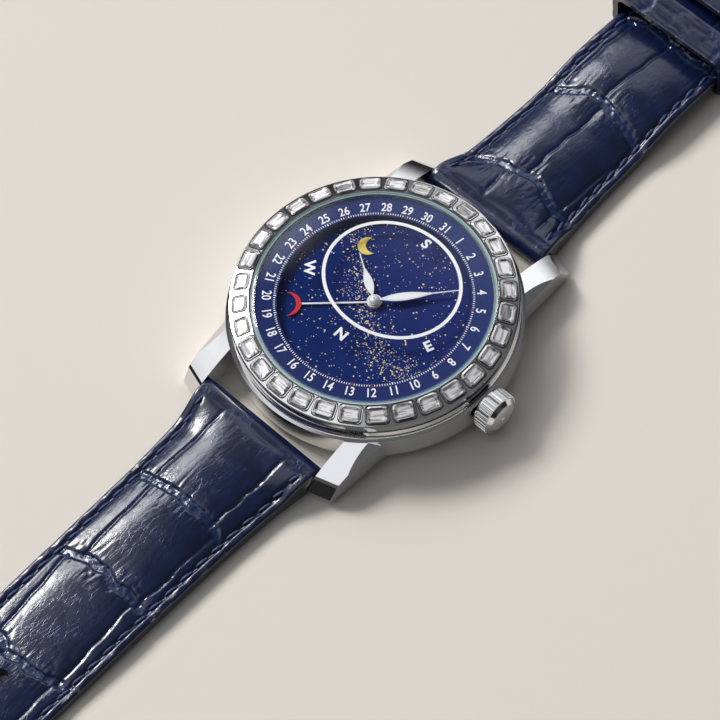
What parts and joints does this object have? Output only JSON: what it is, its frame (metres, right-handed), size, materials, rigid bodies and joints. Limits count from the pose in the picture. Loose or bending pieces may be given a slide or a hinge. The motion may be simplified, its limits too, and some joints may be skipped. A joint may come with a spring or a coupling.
{
  "type": "wristwatch",
  "caption": "Round dress watch with a turning sky disc, date hand, stone-set bezel, fluted crown and padded navy leather strap, lying open on its back.",
  "frame": {"origin": "centre of the case back's outer face", "axes": "+Z out through the watch glass, +Y towards 12 o'clock along the strap, +X towards the crown at 3 o'clock"},
  "size_m": [0.0453, 0.2338, 0.0105],
  "materials": {
    "polished_steel": "polished stainless steel",
    "satin_steel": "satin stainless steel",
    "stone": "clear step-cut stone",
    "clear_glass": "clear domed glass",
    "clear_seal": "translucent seal",
    "dark_seal": "matt seal",
    "brass_plate": "grained gilt plate",
    "gilt_wheel": "circular-brushed gilt",
    "bridge_metal": "striped rhodium finish",
    "tool_steel": "polished hardened steel",
    "spring_steel": "blue-grey spring steel",
    "blued_steel": "heat-blued screws",
    "ruby": "synthetic ruby",
    "navy_enamel": "glossy navy lacquer",
    "sky_enamel": "deep blue translucent lacquer",
    "moon_gold": "gilt",
    "hand_silver": "silvered hands",
    "date_red": "silvered rod with a red crescent",
    "navy_leather": "glossy embossed leather"
  },
  "bodies": {
    "case": {"case_middle": "satin_steel", "bezel": "polished_steel", "bezel_stones": "stone", "crystal": "clear_glass", "crystal_gasket": "clear_seal", "case_back": "polished_steel", "back_crystal": "clear_glass", "back_gasket": "dark_seal", "crown_tube": "satin_steel", "movement_ring": "brass_plate", "casing_clamps": "tool_steel", "spring_bars": "tool_steel", "date_dial": "navy_enamel", "module_plate": "brass_plate", "mainplate": "brass_plate", "barrel_bridge": "bridge_metal", "train_bridge": "bridge_metal", "pallet_bridge": "bridge_metal", "balance_cock": "bridge_metal", "jewels": "ruby", "movement_screws": "blued_steel", "hairspring": "spring_steel"},
    "minute_group": {"minute_hand": "hand_silver", "hand_cap": "hand_silver", "cannon_pinion": "tool_steel"},
    "hour_group": {"hour_hand": "hand_silver", "hour_wheel": "gilt_wheel"},
    "date_group": {"date_hand": "date_red", "date_wheel": "gilt_wheel"},
    "sky_group": {"sky_disc": "sky_enamel", "sky_wheel": "gilt_wheel", "moon": "moon_gold"},
    "motion_wheel": {"minute_wheel": "gilt_wheel"},
    "fourth": {"fourth_wheel": "gilt_wheel"},
    "third": {"third_wheel": "gilt_wheel"},
    "centre": {"centre_wheel": "gilt_wheel"},
    "barrel_group": {"barrel": "gilt_wheel", "mainspring": "spring_steel"},
    "escape": {"escape_wheel": "gilt_wheel"},
    "fork": {"pallet_fork": "tool_steel"},
    "balance": {"balance_wheel": "gilt_wheel"},
    "winding": {"clutch_wheel": "tool_steel", "winding_pinion": "tool_steel"},
    "crown_group": {"crown": "polished_steel", "crown_gasket": "dark_seal", "stem": "tool_steel"},
    "crown_wheel_group": {"crown_wheel": "tool_steel"},
    "ratchet_group": {"ratchet_wheel": "tool_steel", "barrel_arbor": "tool_steel", "ratchet_screw": "blued_steel"},
    "lever": {"setting_lever": "tool_steel"},
    "click_group": {"click": "tool_steel"},
    "short_half": {"strap_short": "navy_leather", "fixed_keeper": "navy_leather"},
    "long_half": {"strap_long": "navy_leather"},
    "buckle": {"buckle_frame": "polished_steel", "buckle_bar": "tool_steel"},
    "tongue": {"buckle_tongue": "polished_steel"},
    "keeper": {"free_keeper": "navy_leather"}
  },
  "joints": [
    {"name": "minute_turn", "type": "hinge", "parent": "case", "child": "minute_group", "pos_m": [0, 0, 0.008], "axis": [0, 0, 1], "continuous": true},
    {"name": "hour_turn", "type": "hinge", "parent": "case", "child": "hour_group", "pos_m": [0, 0, 0.008], "axis": [0, 0, 1], "continuous": true},
    {"name": "date_turn", "type": "hinge", "parent": "case", "child": "date_group", "pos_m": [0, 0, 0.008], "axis": [0, 0, 1], "continuous": true},
    {"name": "sky_turn", "type": "hinge", "parent": "case", "child": "sky_group", "pos_m": [0, 0, 0.007], "axis": [0, 0, 1], "continuous": true},
    {"name": "motion_turn", "type": "hinge", "parent": "case", "child": "motion_wheel", "pos_m": [-0.00231, 0.00276, 0.0053], "axis": [0, 0, 1], "continuous": true},
    {"name": "fourth_turn", "type": "hinge", "parent": "case", "child": "fourth", "pos_m": [-0.00338, -0.00422, 0.003], "axis": [0, 0, 1], "continuous": true},
    {"name": "third_turn", "type": "hinge", "parent": "case", "child": "third", "pos_m": [-0.00538, -0.00047, 0.003], "axis": [0, 0, 1], "continuous": true},
    {"name": "centre_turn", "type": "hinge", "parent": "case", "child": "centre", "pos_m": [0, 0, 0.003], "axis": [0, 0, 1], "continuous": true},
    {"name": "barrel_turn", "type": "hinge", "parent": "case", "child": "barrel_group", "pos_m": [0.00447, 0.00533, 0.003], "axis": [0, 0, 1], "continuous": true},
    {"name": "escape_turn", "type": "hinge", "parent": "case", "child": "escape", "pos_m": [0.0002, -0.0059, 0.003], "axis": [0, 0, 1], "continuous": true},
    {"name": "fork_swing", "type": "hinge", "parent": "case", "child": "fork", "pos_m": [0.0026, -0.00677, 0.0034], "axis": [0, 0, 1], "range_deg": [-5, 5]},
    {"name": "balance_swing", "type": "hinge", "parent": "case", "child": "balance", "pos_m": [0.00509, -0.00768, 0.0023], "axis": [0, 0, 1], "range_deg": [-150, 150]},
    {"name": "crown_turn", "type": "hinge", "parent": "case", "child": "winding", "pos_m": [0.01091, 0, 0.0037], "axis": [1, 0, 0], "continuous": true},
    {"name": "crown_pull", "type": "slide", "parent": "winding", "child": "crown_group", "axis": [1, 0, 0], "range_m": [0, 0.0012]},
    {"name": "crown_wheel_turn", "type": "hinge", "parent": "case", "child": "crown_wheel_group", "pos_m": [0.00931, 0, 0.002], "axis": [0, 0, 1], "continuous": true},
    {"name": "ratchet_turn", "type": "hinge", "parent": "case", "child": "ratchet_group", "pos_m": [0.00447, 0.00533, 0.002], "axis": [0, 0, 1], "continuous": true},
    {"name": "lever_swing", "type": "hinge", "parent": "case", "child": "lever", "pos_m": [0.01226, -0.0024, 0.0028], "axis": [0, 0, -1], "range_deg": [0, 29]},
    {"name": "click_swing", "type": "hinge", "parent": "case", "child": "click_group", "pos_m": [0.00125, 0.01092, 0.002], "axis": [0, 0, 1], "range_deg": [0, 8]},
    {"name": "short_strap_swing", "type": "hinge", "parent": "case", "child": "short_half", "pos_m": [0, 0.0237, 0.00215], "axis": [1, 0, 0], "range_deg": [-60, 60]},
    {"name": "long_strap_swing", "type": "hinge", "parent": "case", "child": "long_half", "pos_m": [0, -0.0237, 0.00215], "axis": [-1, 0, 0], "range_deg": [-60, 60]},
    {"name": "buckle_swing", "type": "hinge", "parent": "short_half", "child": "buckle", "pos_m": [0, 0.0867, 0.00255], "axis": [1, 0, 0], "range_deg": [-75, 45]},
    {"name": "tongue_swing", "type": "hinge", "parent": "buckle", "child": "tongue", "pos_m": [0, 0.0867, 0.00255], "axis": [1, 0, 0], "range_deg": [0, 70]},
    {"name": "keeper_slide", "type": "slide", "parent": "short_half", "child": "keeper", "axis": [0, 1, 0], "range_m": [-0.006, 0.0016]}
  ],
  "couplings": [
    {"joint": "hour_turn", "follows": "minute_turn", "ratio": 0.083333},
    {"joint": "date_turn", "follows": "minute_turn", "ratio": 0.0013441},
    {"joint": "sky_turn", "follows": "minute_turn", "ratio": -0.041781},
    {"joint": "motion_turn", "follows": "minute_turn", "ratio": -0.33333},
    {"joint": "third_turn", "follows": "fourth_turn", "ratio": -0.13333},
    {"joint": "centre_turn", "follows": "fourth_turn", "ratio": 0.016667},
    {"joint": "barrel_turn", "follows": "fourth_turn", "ratio": -0.0026667},
    {"joint": "escape_turn", "follows": "fourth_turn", "ratio": -10},
    {"joint": "crown_wheel_turn", "follows": "crown_turn", "ratio": 0.75},
    {"joint": "ratchet_turn", "follows": "crown_turn", "ratio": -0.28846},
    {"joint": "lever_swing", "follows": "crown_pull", "rad_per_m": 416.67}
  ]
}
